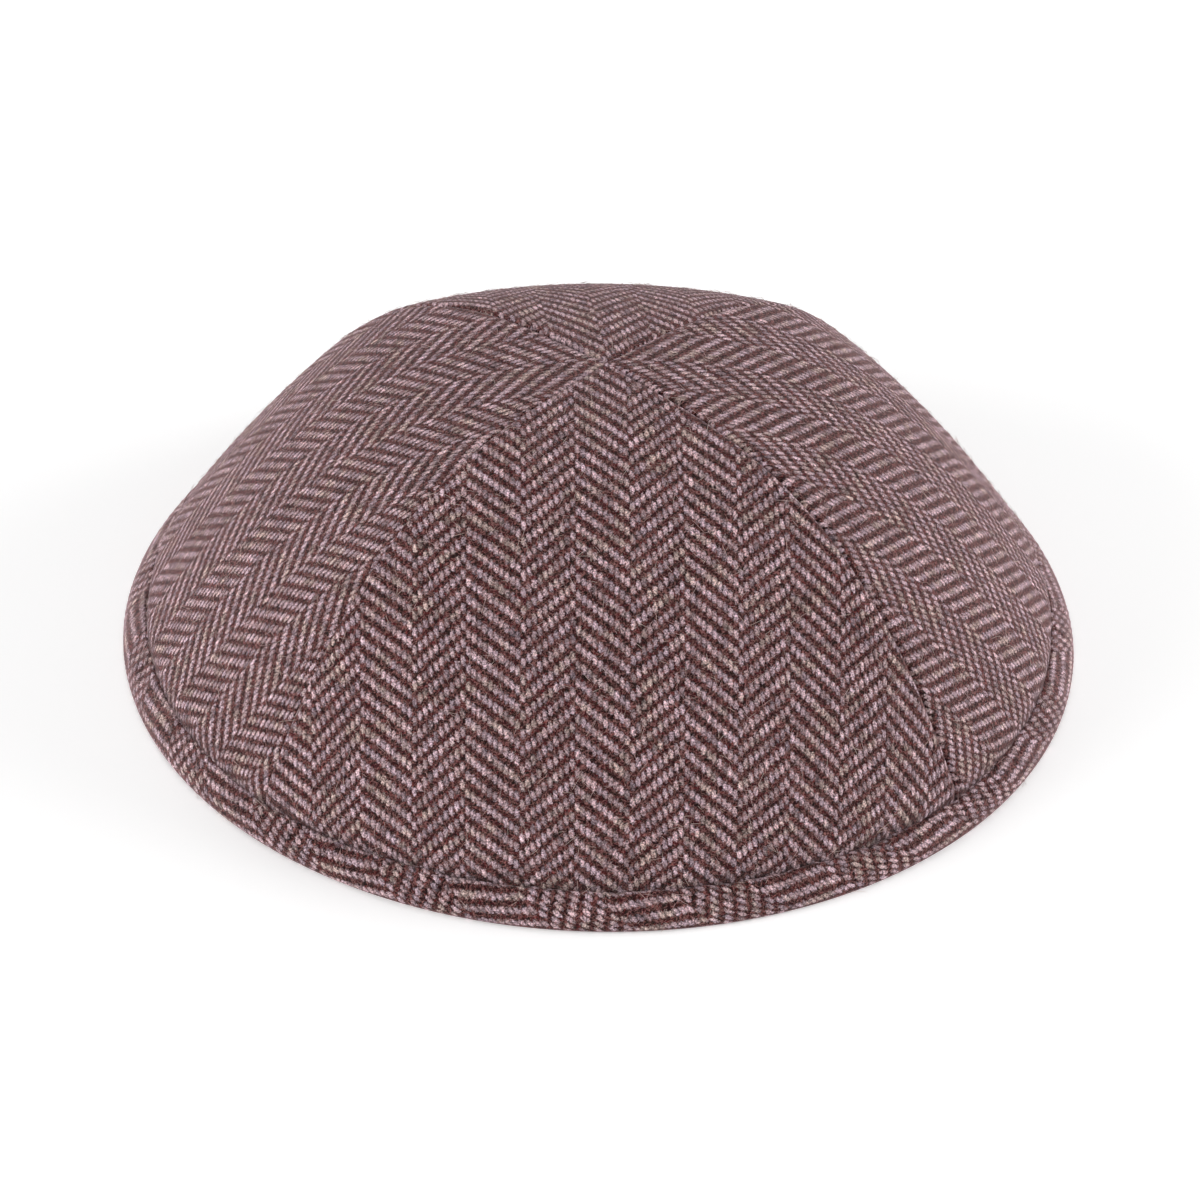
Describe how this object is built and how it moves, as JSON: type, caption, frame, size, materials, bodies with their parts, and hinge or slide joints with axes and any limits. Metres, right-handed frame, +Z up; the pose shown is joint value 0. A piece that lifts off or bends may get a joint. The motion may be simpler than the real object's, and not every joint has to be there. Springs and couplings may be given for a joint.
{
  "type": "kippah",
  "caption": "Low dome-shaped skullcap sewn from equal herringbone wool panels, with a bias-cut binding folded round its rim and an open head hollow.",
  "frame": {"origin": "on the ground under the middle of the crown, level with the bottom of the rim", "axes": "+Z up through the point where the four panels meet; -Y towards the middle of the front panel; +X towards the right panel"},
  "size_m": [0.164, 0.1558, 0.0544],
  "materials": {
    "crown_cloth": "brushed wool in a two-colour herringbone twill, mauve on burgundy brown",
    "binding_cloth": "the same wool cut on the bias, so its herringbone runs across and along the strip by turns"
  },
  "bodies": {
    "root": {"panel_front": "crown_cloth", "panel_right": "crown_cloth", "panel_back": "crown_cloth", "panel_left": "crown_cloth", "rim_binding": "binding_cloth"}
  },
  "joints": []
}
